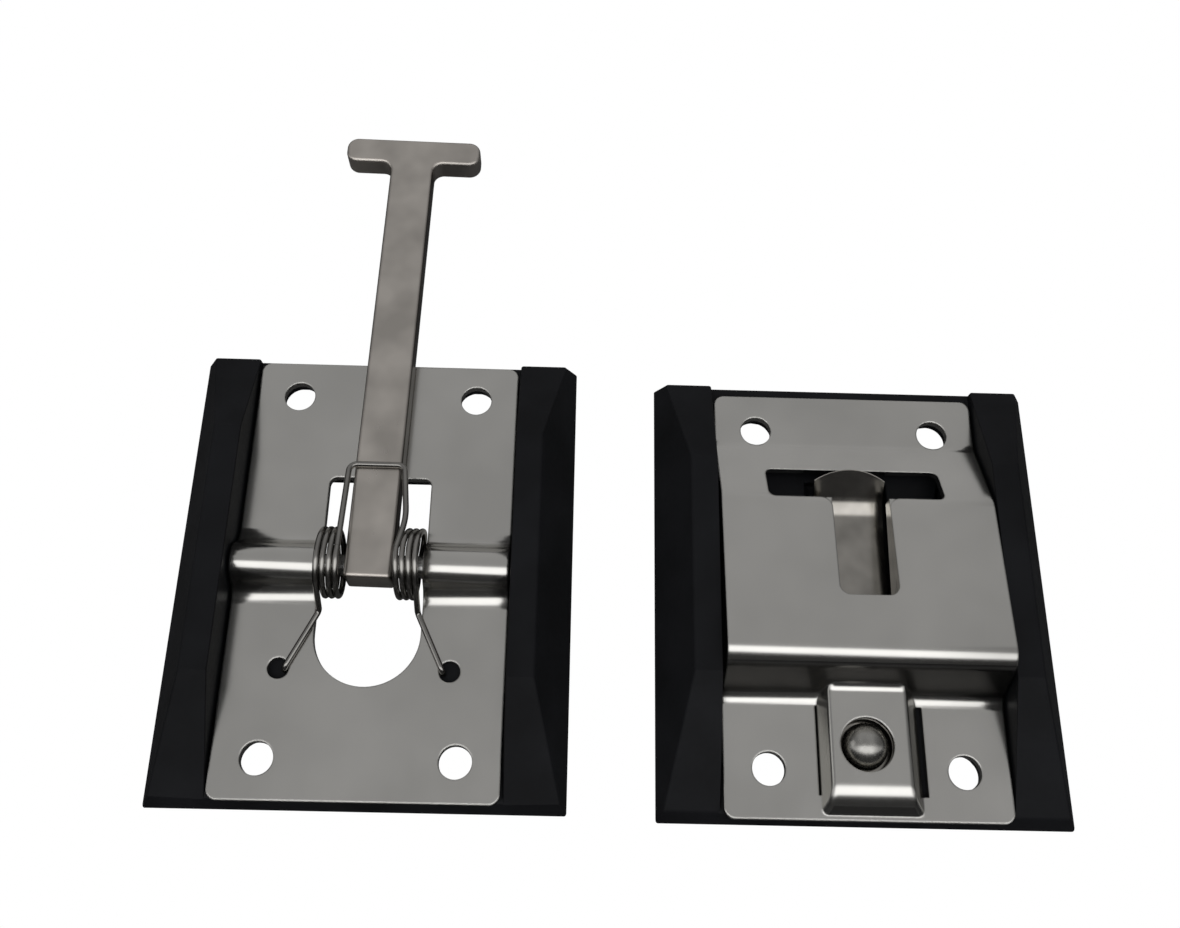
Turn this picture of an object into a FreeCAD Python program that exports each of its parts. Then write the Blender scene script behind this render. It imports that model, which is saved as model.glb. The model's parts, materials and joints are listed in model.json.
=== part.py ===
import FreeCAD
import Part
import Sketcher
import math
import os

# Door holder in two halves, laid side by side: a hook half with a sprung T-bar and
# a catch half with a hood and a leaf spring. Millimetres, +Z up, Z 0 = mounting plane.
# Each half is drawn about the centre of its steel plate and then put in place.

V = FreeCAD.Vector

SIZES = [
    # Shared by both halves
    ("sheet", "2"),
    ("web", "3"),
    ("plate_half", "30"),
    ("rail_gap", "0.6"),
    ("ridge_flat", "5.9"),
    ("rail_slant", "7.5"),
    ("ridge_inner", "=plate_half + rail_gap"),
    ("ridge_outer", "=ridge_inner + ridge_flat"),
    ("foot_half", "=ridge_outer + rail_slant"),
    ("ridge_height", "14"),
    ("stock_length", "112"),
    ("stock_half", "=stock_length / 2"),
    ("above", "20"),
    ("end_lean", "2.1"),
    ("plate_top", "=web + sheet"),
    ("plate_corner", "2.3"),
    ("screw_radius", "3.5"),
    ("screw_inset", "9.5"),
    ("screw_x", "=plate_half - screw_inset"),
    ("rubber_hole_gap", "0.6"),
    ("rubber_hole", "=screw_radius + rubber_hole_gap"),
    ("ramp_run", "23.9"),
    # Hook base and plate
    ("hook_plate_half", "50"),
    ("hook_near", "=hook_plate_half + 1.4"),
    ("hook_near_height", "3"),
    ("hook_near_top", "=hook_near - end_lean"),
    ("hook_ridge_near", "=hook_near_top - ramp_run"),
    ("hook_far", "=hook_plate_half + 1.5"),
    ("hook_far_height", "5"),
    ("hook_far_top", "=hook_far - 0.5"),
    ("hook_ridge_far", "29.7"),
    ("hook_screw_inset", "8.5"),
    ("hook_screw_y", "=hook_plate_half - hook_screw_inset"),
    ("window_half", "11.5"),
    ("window_far", "21.5"),
    ("window_near", "14.7"),
    ("window_corner", "1.7"),
    ("window_gap", "0.6"),
    ("window_half_rubber", "=window_half + window_gap"),
    ("window_far_rubber", "=window_far + window_gap"),
    ("leg_hole_radius", "2.3"),
    # Pin and knuckles
    ("pin_radius", "2.5"),
    ("pin_height", "6.6"),
    ("pin_fit", "0.05"),
    ("pin_length", "=2 * plate_half"),
    ("knuckle_inner", "=pin_radius + pin_fit"),
    ("knuckle_outer", "=knuckle_inner + sheet"),
    ("valley", "4.6"),
    ("valley_under", "=valley + sheet"),
    ("valley_height", "=plate_top + valley"),
    ("valley_y", "=sqrt((knuckle_outer + valley)^2 - (valley_height - pin_height)^2)"),
    ("knuckle_width", "=plate_half - window_half"),
    ("rib_half", "1.6"),
    ("rib_gap", "0.1"),
    ("rib_top", "=pin_height - pin_radius - rib_gap"),
    # T-bar
    ("bar_half", "5.2"),
    ("bar_swing", "1"),
    ("bar_shift", "0.2"),
    ("bar_x", "=half_x + bar_shift"),
    ("bar_top", "11"),
    ("bar_gap", "0.3"),
    ("bar_bottom", "=plate_top + bar_gap"),
    ("bar_thick", "=bar_top - bar_bottom"),
    ("bar_end", "3.9"),
    ("bar_fit", "0.16"),
    ("bar_bore", "=pin_radius + bar_fit"),
    ("boss_bottom", "3.1"),
    ("boss_flat", "5.5"),
    ("boss_run", "9.5"),
    ("head_half", "16.6"),
    ("head_near", "103.9"),
    ("head_far", "110.8"),
    ("head_corner", "2.8"),
    ("neck_round", "2.4"),
    ("bar_round", "0.8"),
    ("bar_round_under", "0.7"),
    # Torsion spring
    ("wire_radius", "0.65"),
    ("coil_radius", "7.2"),
    ("coil_height", "8.7"),
    ("coil_pitch", "1.38"),
    ("coil_turns", "3"),
    ("coil_arcs", "13"),
    ("coil_inner", "6.2"),
    ("loop_x", "6.1"),
    ("right_skew", "0.15"),
    ("left_skew", "0"),
    ("right_via", "7.7"),
    ("left_via", "6.15"),
    ("via_y", "8.5"),
    ("via_round", "18"),
    ("loop_y", "22"),
    ("loop_height", "=bar_top + wire_radius + 0.1"),
    ("loop_round", "1.8"),
    ("leg_lean", "30"),
    ("leg_round", "1.3"),
    ("leg_tip_x", "16.8"),
    ("leg_tip_y", "22.8"),
    ("leg_hole_x", "=leg_tip_x + 1.4"),
    ("leg_hole_y", "=leg_tip_y - 0.2"),
    ("leg_height", "=plate_top + wire_radius + 0.1"),
    ("leg_tip_height", "=web + 0.4"),
    # Catch base and plate
    ("catch_plate_half", "48"),
    ("catch_near", "=catch_plate_half + 0.8"),
    ("catch_near_height", "3"),
    ("catch_near_top", "=catch_near - end_lean"),
    ("catch_ridge_near", "=catch_near_top - ramp_run - 3.3"),
    ("catch_far", "=catch_plate_half + 3.2"),
    ("catch_far_height", "5"),
    ("catch_far_top", "=catch_far - 0.5"),
    ("catch_ridge_far", "28.6"),
    ("catch_far_inset", "8.8"),
    ("catch_near_inset", "10.2"),
    ("catch_screw_far", "=catch_plate_half - catch_far_inset"),
    ("catch_screw_near", "=catch_plate_half - catch_near_inset"),
    ("bend_far_y", "35.8"),
    ("bend_high_y", "19.5"),
    ("bend_high_z", "14"),
    ("hood_y", "17.4"),
    ("hood_top", "18"),
    ("wall_foot_y", "22.2"),
    ("hood_bend", "4.5"),
    ("hood_bend_inner", "=hood_bend - sheet"),
    ("foot_bend", "3.5"),
    ("foot_bend_outer", "=foot_bend + sheet"),
    ("gentle_bend", "6"),
    ("gentle_bend_inner", "=gentle_bend - sheet"),
    ("slot_half", "19.5"),
    ("slot_far", "28"),
    ("slot_near", "19.8"),
    ("slot_round", "1.6"),
    ("slot_end_round", "2.2"),
    ("slot_mouth_round", "2.6"),
    ("neck_half", "6.3"),
    ("neck_shift", "0.6"),
    ("neck_left", "=neck_half - neck_shift"),
    ("neck_right", "=neck_half + neck_shift"),
    ("neck_near", "3.2"),
    ("lip_bottom", "12.4"),
    ("lip_thick", "1.2"),
    ("lip_left", "=neck_left + lip_thick"),
    ("lip_right", "=neck_right + lip_thick"),
    ("lip_near", "=neck_near + lip_thick"),
    ("lip_far", "14"),
    ("lip_depth", "=bend_high_z - lip_bottom"),
    # Strap
    ("strap_left", "9.9"),
    ("strap_right", "11.2"),
    ("strap_left_flat", "7.9"),
    ("strap_right_flat", "8.3"),
    ("strap_top", "9"),
    ("strap_under", "=strap_top - sheet"),
    ("strap_inner", "6.7"),
    ("strap_inner_foot", "8.4"),
    ("strap_root", "2.4"),
    ("strap_side", "1.5"),
    ("strap_far", "20.4"),
    ("strap_near_top", "43.5"),
    ("strap_bend", "6"),
    ("strap_near_foot", "46.9"),
    ("strap_hollow_far", "15"),
    ("strap_hollow_near", "42.6"),
    ("slit_left", "10.3"),
    ("slit_right", "12.5"),
    ("slit_far", "24.4"),
    ("slit_near", "43"),
    ("strap_length", "=strap_near_foot - strap_far"),
    ("hollow_length", "=strap_hollow_near - strap_hollow_far"),
    ("snap_radius", "5.6"),
    ("snap_x", "0.5"),
    ("leaf_x", "=half_x - snap_x"),
    ("snap_y", "33.1"),
    # Leaf spring
    ("leaf_half", "7.9"),
    ("leaf_thick", "0.8"),
    ("leaf_bottom", "4.2"),
    ("leaf_top", "=leaf_bottom + leaf_thick"),
    ("leaf_near", "39.6"),
    ("tail_half", "6.1"),
    ("tail_far", "15"),
    ("leaf_bend_y", "20"),
    ("leaf_tip_y", "27.5"),
    ("leaf_tip_z", "11.2"),
    ("leaf_bend", "9"),
    ("leaf_bend_outer", "=leaf_bend + leaf_thick"),
    ("tip_radius", "16.4"),
    ("tip_centre", "=leaf_tip_y - tip_radius"),
    ("dome_radius", "4.85"),
    ("dome_top", "11"),
    ("dome_centre", "=dome_top - dome_radius"),
    ("dome_inner", "=dome_radius - leaf_thick"),
    ("relief_half", "9.2"),
    ("relief_far", "27.5"),
    ("relief_floor", "0.6"),
    ("relief_depth", "=web - relief_floor"),
    ("relief_near", "22"),
    ("pad_half", "=tail_half"),
    ("pad_gap", "0.2"),
    ("pad_top", "=leaf_bottom - pad_gap"),
    ("pad_far", "24.6"),
    ("pad_near", "41.5"),
    # Places of the two halves
    ("half_x", "53.05"),
    ("hook_y", "-29.2"),
    ("catch_y", "-32.8"),
]

doc = FreeCAD.newDocument("DoorHolder")
sizes = doc.addObject("Spreadsheet::Sheet", "Sizes")
for row, (alias, content) in enumerate(SIZES, start=1):
    sizes.set("A%d" % row, alias)
    sizes.set("B%d" % row, content)
    sizes.setAlias("B%d" % row, alias)
doc.recompute()


def split_term(term):
    """A term is a size's name, with a minus sign in front or not."""
    sign = "-" if term.startswith("-") else ""
    return sign, term.lstrip("-")


def value(term):
    sign, name = split_term(term)
    if name == "0":
        return 0.0
    number = float(sizes.get(name))
    return -number if sign else number


def link(thing, prop, term):
    """Ties a property to a size of the sheet."""
    sign, name = split_term(term)
    thing.setExpression(prop, "%sSizes.%s" % (sign, name))


def plane(body, role):
    return [f for f in body.Origin.OriginFeatures if f.Role == role][0]


def new_body(node, x_term, y_term):
    body = doc.addObject("PartDesign::Body", node)
    body.Label = node
    link(body, "Placement.Base.x", x_term)
    link(body, "Placement.Base.y", y_term)
    return body


def new_sketch(body, role, name, offset=None):
    sketch = body.newObject("Sketcher::SketchObject", name)
    sketch.AttachmentSupport = (plane(body, role), [""])
    sketch.MapMode = "FlatFace"
    if offset:
        link(sketch, "AttachmentOffset.Base.z", offset)
    return sketch


def fix_point(sketch, geo, pos, u, v):
    """Holds a point of the sketch at two terms from its origin."""
    for kind, term in (("DistanceX", u), ("DistanceY", v)):
        index = sketch.addConstraint(Sketcher.Constraint(kind, -1, 1, geo, pos, value(term)))
        if term != "0":
            link(sketch, "Constraints[%d]" % index, term)


def add_outline(sketch, corners):
    """Draws a closed outline of straight lines through corners given as terms."""
    first = sketch.GeometryCount
    count = len(corners)
    points = [V(value(u), value(v), 0) for u, v in corners]
    for i in range(count):
        sketch.addGeometry(Part.LineSegment(points[i], points[(i + 1) % count]), False)
    for i in range(count):
        nxt = first + (i + 1) % count
        sketch.addConstraint(Sketcher.Constraint("Coincident", first + i, 2, nxt, 1))
    for i, (u, v) in enumerate(corners):
        fix_point(sketch, first + i, 1, u, v)


def add_circles(sketch, centres, radius):
    for u, v in centres:
        circle = Part.Circle(V(value(u), value(v), 0), V(0, 0, 1), value(radius))
        geo = sketch.addGeometry(circle, False)
        index = sketch.addConstraint(Sketcher.Constraint("Radius", geo, value(radius)))
        link(sketch, "Constraints[%d]" % index, radius)
        fix_point(sketch, geo, 3, u, v)


def outline(body, role, name, corners, offset=None):
    sketch = new_sketch(body, role, name, offset)
    add_outline(sketch, corners)
    return sketch


def circles(body, role, name, centres, radius):
    sketch = new_sketch(body, role, name)
    add_circles(sketch, centres, radius)
    return sketch


def pad(body, sketch, name, length, both=False, back=False):
    feature = body.newObject("PartDesign::Pad", name)
    feature.Profile = sketch
    link(feature, "Length", length)
    feature.Midplane = both
    feature.Reversed = back
    sketch.Visibility = False
    return feature


def cut(body, sketch, name, length=None, back=False):
    """Cuts right through on both sides, or to a depth on one side."""
    feature = body.newObject("PartDesign::Pocket", name)
    feature.Profile = sketch
    if length:
        link(feature, "Length", length)
        feature.Reversed = back
    else:
        feature.Type = "ThroughAll"
        feature.Midplane = True
    sketch.Visibility = False
    return feature


def mirror(body, originals, name):
    feature = body.newObject("PartDesign::Mirrored", name)
    feature.Originals = originals
    feature.MirrorPlane = (plane(body, "YZ_Plane"), [""])
    body.Tip = feature
    return feature


def round_edges(body, name, radius, test):
    """Rounds the edges of the newest feature whose middle and direction pass a test."""
    doc.recompute()
    base = body.Tip
    names = []
    for number, edge in enumerate(base.Shape.Edges, start=1):
        if edge.Length < 0.01:
            continue
        middle = edge.valueAt((edge.FirstParameter + edge.LastParameter) / 2)
        along = edge.tangentAt((edge.FirstParameter + edge.LastParameter) / 2)
        if test(middle, along, edge):
            names.append("Edge%d" % number)
    if not names:
        raise RuntimeError("no edges for " + name)
    feature = body.newObject("PartDesign::Fillet", name)
    feature.Base = (base, names)
    link(feature, "Radius", radius)
    doc.recompute()
    return feature


def near(number, term, slack=0.05):
    return abs(number - value(term)) < slack


def upright(along):
    return abs(along.z) > 0.99


def crosswise(along):
    return abs(along.x) > 0.99


# Rubber bases: the rail section along Y, ends and ramps cut to shape from the side

def rubber_base(node, place, half):
    body = new_body(node, place[0], place[1])
    near_end, near_top, near_height, ridge_near = half["near"]
    far_end, far_top, far_height, ridge_far = half["far"]
    section = outline(body, "XZ_Plane", node + "_section", [
        ("-foot_half", "0"), ("foot_half", "0"),
        ("ridge_outer", "ridge_height"), ("ridge_inner", "ridge_height"),
        ("ridge_inner", "web"), ("-ridge_inner", "web"),
        ("-ridge_inner", "ridge_height"), ("-ridge_outer", "ridge_height")])
    pad(body, section, node + "_rails", "stock_length", both=True)
    ends = new_sketch(body, "YZ_Plane", node + "_ends")
    add_outline(ends, [
        ("-" + near_end, "0"), ("-" + near_top, near_height),
        ("-" + ridge_near, "ridge_height"), ("-" + ridge_near, "above"),
        ("-stock_half", "above"), ("-stock_half", "0")])
    add_outline(ends, [
        (far_end, "0"), (far_top, far_height),
        (ridge_far, "ridge_height"), (ridge_far, "above"),
        ("stock_half", "above"), ("stock_half", "0")])
    cut(body, ends, node + "_ramps")
    return body


hook_place = ("-half_x", "hook_y")
catch_place = ("half_x", "catch_y")

hook_base = rubber_base("hook_rubber_base", hook_place, {
    "near": ("hook_near", "hook_near_top", "hook_near_height", "hook_ridge_near"),
    "far": ("hook_far", "hook_far_top", "hook_far_height", "hook_ridge_far")})

# Window of the hook half: straight sides with a round near end, in rubber and plate

def window(body, name, half, far):
    straight = outline(body, "XY_Plane", name + "_straight", [
        ("-" + half, "-window_near"), (half, "-window_near"), (half, far), ("-" + half, far)])
    cut(body, straight, name + "_opening")
    end = circles(body, "XY_Plane", name + "_end", [("0", "-window_near")], half)
    cut(body, end, name + "_round")


window(hook_base, "rubber_window", "window_half_rubber", "window_far_rubber")

hook_screws = [(x, y) for x in ("-screw_x", "screw_x") for y in ("-hook_screw_y", "hook_screw_y")]
cut(hook_base, circles(hook_base, "XY_Plane", "hook_rubber_screws", hook_screws, "rubber_hole"),
    "hook_rubber_screw_holes")

# Low rubber ribs that hold the pin up inside its knuckles
rib = outline(hook_base, "YZ_Plane", "pin_rib", [
    ("-rib_half", "0"), ("rib_half", "0"), ("rib_half", "rib_top"), ("-rib_half", "rib_top")],
    offset="window_half_rubber")
rib_pad = pad(hook_base, rib, "pin_rib_right", "knuckle_width")
mirror(hook_base, [rib_pad], "pin_ribs")


# Hook plate: flat stamping with window, then two knuckles pressed up round the pin

plate = new_body("hook_plate", *hook_place)
flat = outline(plate, "XY_Plane", "hook_flat", [
    ("-plate_half", "-hook_plate_half"), ("plate_half", "-hook_plate_half"),
    ("plate_half", "hook_plate_half"), ("-plate_half", "hook_plate_half")], offset="web")
pad(plate, flat, "hook_blank", "sheet")
round_edges(plate, "hook_corners", "plate_corner", lambda m, a, e: upright(a))
window(plate, "plate_window", "window_half", "window_far")
round_edges(plate, "window_corners", "window_corner",
            lambda m, a, e: upright(a) and near(m.y, "window_far")
            and near(abs(m.x), "window_half"))
cut(plate, circles(plate, "XY_Plane", "hook_screw_circles", hook_screws, "screw_radius"),
    "hook_screw_holes")
leg_holes = [("-leg_hole_x", "-leg_hole_y"), ("leg_hole_x", "-leg_hole_y")]
cut(plate, circles(plate, "XY_Plane", "leg_hole_circles", leg_holes, "leg_hole_radius"),
    "leg_holes")

gap = outline(plate, "YZ_Plane", "knuckle_gap", [
    ("-valley_y", "0"), ("valley_y", "0"), ("valley_y", "above"), ("-valley_y", "above")],
    offset="window_half")
gap_cut = cut(plate, gap, "knuckle_cut", length="knuckle_width", back=True)


def omega(body, name, offset):
    """Section of a knuckle: over the pin and down into the plate on both sides."""
    sketch = new_sketch(body, "YZ_Plane", name, offset)
    height, edge = value("pin_height"), value("valley_y")
    centre = V(0, height, 0)
    left = V(-edge, value("valley_height"), 0)
    right = V(edge, value("valley_height"), 0)
    axis = V(0, 0, 1)
    lean = math.atan2(value("valley_height") - height, edge)
    down, side_r, side_l = math.radians(270), math.pi - lean, -lean

    def arc(middle, radius, start, end):
        return sketch.addGeometry(Part.ArcOfCircle(Part.Circle(middle, axis, radius), start, end))

    under, top = value("valley_under"), value("valley")
    left_under = arc(left, under, down, math.radians(360) + side_l)
    inner = arc(centre, value("knuckle_inner"), lean, math.pi - lean)
    right_under = arc(right, under, side_r, down)
    left_top = arc(left, top, down, math.radians(360) + side_l)
    outer = arc(centre, value("knuckle_outer"), lean, math.pi - lean)
    right_top = arc(right, top, side_r, down)
    low, high = value("web"), value("plate_top")
    seam_left = sketch.addGeometry(Part.LineSegment(V(-edge, low, 0), V(-edge, high, 0)))
    seam_right = sketch.addGeometry(Part.LineSegment(V(edge, low, 0), V(edge, high, 0)))
    for one, p, two, q in [(left_under, 2, inner, 2), (inner, 1, right_under, 1),
                           (left_top, 2, outer, 2), (outer, 1, right_top, 1)]:
        sketch.addConstraint(Sketcher.Constraint("Tangent", one, p, two, q))
    for one, p, two, q in [(seam_left, 1, left_under, 1), (seam_left, 2, left_top, 1),
                           (seam_right, 1, right_under, 2), (seam_right, 2, right_top, 2),
                           (inner, 3, outer, 3), (left_under, 3, left_top, 3),
                           (right_under, 3, right_top, 3)]:
        sketch.addConstraint(Sketcher.Constraint("Coincident", one, p, two, q))
    fix_point(sketch, outer, 3, "0", "pin_height")
    for one, radius in ((outer, "knuckle_outer"), (left_top, "valley"), (right_top, "valley"),
                        (left_under, "valley_under")):
        index = sketch.addConstraint(Sketcher.Constraint("Radius", one, value(radius)))
        link(sketch, "Constraints[%d]" % index, radius)
    for one, end in ((left_top, 1), (right_top, 2)):
        level = value("valley_height")
        index = sketch.addConstraint(Sketcher.Constraint("DistanceY", -1, 1, one, 3, level))
        link(sketch, "Constraints[%d]" % index, "valley_height")
        sketch.addConstraint(Sketcher.Constraint("Vertical", one, 3, one, end))
    sketch.addConstraint(Sketcher.Constraint("Vertical", seam_left))
    sketch.addConstraint(Sketcher.Constraint("Vertical", seam_right))
    return sketch


knuckle = pad(plate, omega(plate, "knuckle_section", "window_half"), "knuckle", "knuckle_width")
mirror(plate, [gap_cut, knuckle], "knuckles")


# Hinge pin

pin = new_body("hinge_pin", *hook_place)
pad(pin, circles(pin, "YZ_Plane", "pin_circle", [("0", "pin_height")], "pin_radius"),
    "pin_rod", "pin_length", both=True)


# T-bar: T-shaped in plan, deeper round the pin, all edges rounded

bar = new_body("t_bar", "-bar_x", "hook_y")
bar.Placement.Rotation = FreeCAD.Rotation(V(0, 0, -1), value("bar_swing"))
bar.setExpression("Placement.Rotation.Angle", "Sizes.bar_swing * 1deg")
tee = outline(bar, "XY_Plane", "tee", [
    ("-bar_half", "-bar_end"), ("bar_half", "-bar_end"), ("bar_half", "head_near"),
    ("head_half", "head_near"), ("head_half", "head_far"), ("-head_half", "head_far"),
    ("-head_half", "head_near"), ("-bar_half", "head_near")], offset="bar_bottom")
pad(bar, tee, "tee_blank", "bar_thick")
round_edges(bar, "head_corners", "head_corner",
            lambda m, a, e: upright(a) and near(abs(m.x), "head_half"))
round_edges(bar, "neck_fillets", "neck_round",
            lambda m, a, e: upright(a) and near(abs(m.x), "bar_half") and near(m.y, "head_near"))
boss = outline(bar, "YZ_Plane", "boss_side", [
    ("-bar_end", "boss_bottom"), ("boss_flat", "boss_bottom"), ("boss_run", "bar_bottom"),
    ("-bar_end", "bar_bottom")])
boss_pad = bar.newObject("PartDesign::Pad", "boss")
boss_pad.Profile = boss
boss_pad.setExpression("Length", "2 * Sizes.bar_half")
boss_pad.Midplane = True
boss.Visibility = False
round_edges(bar, "bar_end_rounds", "bar_round",
            lambda m, a, e: crosswise(a) and near(m.y, "-bar_end") and abs(m.x) < 1)
round_edges(bar, "bar_top_rounds", "bar_round",
            lambda m, a, e: near(m.z, "bar_top") and not (crosswise(a) and m.y < 0))
round_edges(bar, "bar_under_rounds", "bar_round_under",
            lambda m, a, e: near(m.z, "bar_bottom") and m.y > value("boss_run") + 1)
cut(bar, circles(bar, "YZ_Plane", "bore_circle", [("0", "pin_height")], "bar_bore"), "bar_bore_cut")


# Torsion spring: one wire swept along legs, coils and loop

def turned(points, radius):
    """Pieces of a line through points: pairs for straights, threes for rounded corners."""
    pieces, start = [], points[0]
    for before, corner, after in zip(points, points[1:], points[2:]):
        one, two = (before - corner), (after - corner)
        one.normalize()
        two.normalize()
        half = math.acos(one.dot(two)) / 2
        reach = radius / math.tan(half)
        middle = one + two
        middle.normalize()
        centre = corner + middle * (radius / math.sin(half))
        arc_start, arc_end = corner + one * reach, corner + two * reach
        pieces.append((start, arc_start))
        pieces.append((arc_start, centre - middle * radius, arc_end))
        start = arc_end
    pieces.append((start, points[-1]))
    return pieces


def half_spring(skew, via_x):
    """Pieces of the wire from a leg's tip to the middle of the loop, drawn on the right."""
    r, height, pitch = value("coil_radius"), value("coil_height"), value("coil_pitch")
    drop = math.atan2(height - value("loop_height"), value("loop_y"))
    reach = math.hypot(value("loop_y"), height - value("loop_height"))
    leave = math.acos(r / reach) - drop
    enter = math.pi - math.radians(value("leg_lean"))
    sweep = 2 * math.pi * int(value("coil_turns")) + enter - leave
    rise = pitch / (2 * math.pi)
    start_x = value("coil_inner") + rise * sweep

    def coil_point(share):
        angle = enter - sweep * share
        y = r * math.cos(angle)
        x = start_x - rise * sweep * share + skew * max(y, 0.0) ** 2 / r
        return V(x, y, height + r * math.sin(angle))

    arcs = int(value("coil_arcs"))
    coil = [tuple(coil_point((i + part) / arcs) for part in (0, 0.5, 1)) for i in range(arcs)]
    begin, finish = coil[0][0], coil[-1][2]
    tip = V(value("leg_tip_x"), value("-leg_tip_y"), value("leg_height"))
    run = (begin.z - tip.z) * math.tan(math.pi - enter)
    knee = V(begin.x, begin.y - run, tip.z)
    corner = V(value("loop_x"), value("loop_y"), value("loop_height"))
    share = (value("via_y") - finish.y) / (corner.y - finish.y)
    via = finish + (corner - finish) * share
    via.x = via_x
    leg = turned([V(tip.x, tip.y, value("leg_tip_height")), tip, knee, begin], value("leg_round"))
    rear = turned([finish, via, corner], value("via_round"))
    loop = turned([rear[-1][0], corner, V(0, corner.y, corner.z)], value("loop_round"))
    return leg + coil + rear[:-1] + loop


def spring_wire():
    right = half_spring(value("right_skew"), value("right_via"))
    left = half_spring(value("left_skew"), value("left_via"))
    left = [tuple(V(-p.x, p.y, p.z) for p in reversed(piece)) for piece in reversed(left)]
    edges = []
    for piece in right + left:
        curve = Part.LineSegment(*piece) if len(piece) == 2 else Part.Arc(*piece)
        edges.append(curve.toShape())
    return Part.Wire(edges)


wire_path = doc.addObject("Part::Feature", "spring_path")
wire_path.Shape = spring_wire()
wire_ring = doc.addObject("Part::Circle", "spring_ring")
link(wire_ring, "Radius", "wire_radius")
start_point = wire_path.Shape.OrderedVertexes[0].Point
wire_ring.Placement = FreeCAD.Placement(start_point, FreeCAD.Rotation())
spring = doc.addObject("Part::Sweep", "torsion_spring")
spring.Label = "torsion_spring"
spring.Sections = [wire_ring]
spring.Spine = (wire_path, ["Edge%d" % (i + 1) for i in range(len(wire_path.Shape.Edges))])
spring.Solid = True
spring.Frenet = False
spring.Transition = "Transformed"
link(spring, "Placement.Base.x", hook_place[0])
link(spring, "Placement.Base.y", hook_place[1])


# Catch base: relief under the leaf, pad below the strap

catch_base = rubber_base("catch_rubber_base", catch_place, {
    "near": ("catch_near", "catch_near_top", "catch_near_height", "catch_ridge_near"),
    "far": ("catch_far", "catch_far_top", "catch_far_height", "catch_ridge_far")})
relief = outline(catch_base, "XY_Plane", "leaf_relief", [
    ("-relief_half", "-relief_near"), ("relief_half", "-relief_near"),
    ("relief_half", "relief_far"), ("-relief_half", "relief_far")], offset="relief_floor")
cut(catch_base, relief, "leaf_relief_cut", length="relief_depth", back=True)
catch_screws = [(x, y) for x in ("-screw_x", "screw_x")
                for y in ("-catch_screw_near", "catch_screw_far")]
cut(catch_base, circles(catch_base, "XY_Plane", "catch_rubber_screws", catch_screws,
                        "rubber_hole"), "catch_rubber_screw_holes")
leaf_pad = outline(catch_base, "XY_Plane", "leaf_pad", [
    ("-pad_half", "-pad_near"), ("pad_half", "-pad_near"),
    ("pad_half", "-pad_far"), ("-pad_half", "-pad_far")])
pad(catch_base, leaf_pad, "leaf_pad_block", "pad_top")


# Sheet seen from the side: its upper face is given, its under face runs parallel

def sheet_profile(body, name, corners, thickness):
    sketch = new_sketch(body, "YZ_Plane", name)
    upper = [V(value(u), value(v), 0) for u, v in corners]
    depth = value(thickness)
    normals = []
    for p, q in zip(upper, upper[1:]):
        along = q - p
        along.normalize()
        normals.append(V(along.y, -along.x, 0))
    lower = [upper[0] + V(0, -depth, 0)]
    for i in range(1, len(upper) - 1):
        both = normals[i - 1] + normals[i]
        lower.append(upper[i] + both * (depth / (1 + normals[i - 1].dot(normals[i]))))
    last = normals[-1] if abs(normals[-1].x) > 0.01 else V(0, -1, 0)
    lower.append(upper[-1] + last * depth)
    if lower[1].y > upper[1].y:
        raise RuntimeError("sheet drawn on the wrong side: " + name)
    lines = len(upper) - 1
    for p, q in zip(upper, upper[1:]):
        sketch.addGeometry(Part.LineSegment(p, q), False)
    for p, q in zip(lower, lower[1:]):
        sketch.addGeometry(Part.LineSegment(p, q), False)
    near_end = sketch.addGeometry(Part.LineSegment(upper[0], lower[0]), False)
    far_end = sketch.addGeometry(Part.LineSegment(upper[-1], lower[-1]), False)
    for i in range(lines - 1):
        sketch.addConstraint(Sketcher.Constraint("Coincident", i, 2, i + 1, 1))
        sketch.addConstraint(Sketcher.Constraint("Coincident", lines + i, 2, lines + i + 1, 1))
    sketch.addConstraint(Sketcher.Constraint("Coincident", near_end, 1, 0, 1))
    sketch.addConstraint(Sketcher.Constraint("Coincident", near_end, 2, lines, 1))
    sketch.addConstraint(Sketcher.Constraint("Coincident", far_end, 1, lines - 1, 2))
    sketch.addConstraint(Sketcher.Constraint("Coincident", far_end, 2, 2 * lines - 1, 2))
    for i, (u, v) in enumerate(corners):
        if i < lines:
            fix_point(sketch, i, 1, u, v)
        else:
            fix_point(sketch, lines - 1, 2, u, v)
    for i in range(lines):
        sketch.addConstraint(Sketcher.Constraint("Parallel", i, lines + i))
        index = sketch.addConstraint(Sketcher.Constraint("Distance", lines + i, 1, i, depth))
        link(sketch, "Constraints[%d]" % index, thickness)
    sketch.addConstraint(Sketcher.Constraint("Perpendicular", near_end, 0))
    sketch.addConstraint(Sketcher.Constraint("Perpendicular", far_end, lines - 1))
    return sketch


catch_plate = new_body("catch_plate", *catch_place)
side = sheet_profile(catch_plate, "catch_side", [
    ("-catch_plate_half", "plate_top"), ("-wall_foot_y", "plate_top"), ("-hood_y", "hood_top"),
    ("bend_high_y", "bend_high_z"), ("bend_far_y", "plate_top"),
    ("catch_plate_half", "plate_top")], "sheet")
blank = catch_plate.newObject("PartDesign::Pad", "catch_blank")
blank.Profile = side
blank.setExpression("Length", "2 * Sizes.plate_half")
blank.Midplane = True
side.Visibility = False
round_edges(catch_plate, "catch_corners", "plate_corner", lambda m, a, e: upright(a))


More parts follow.
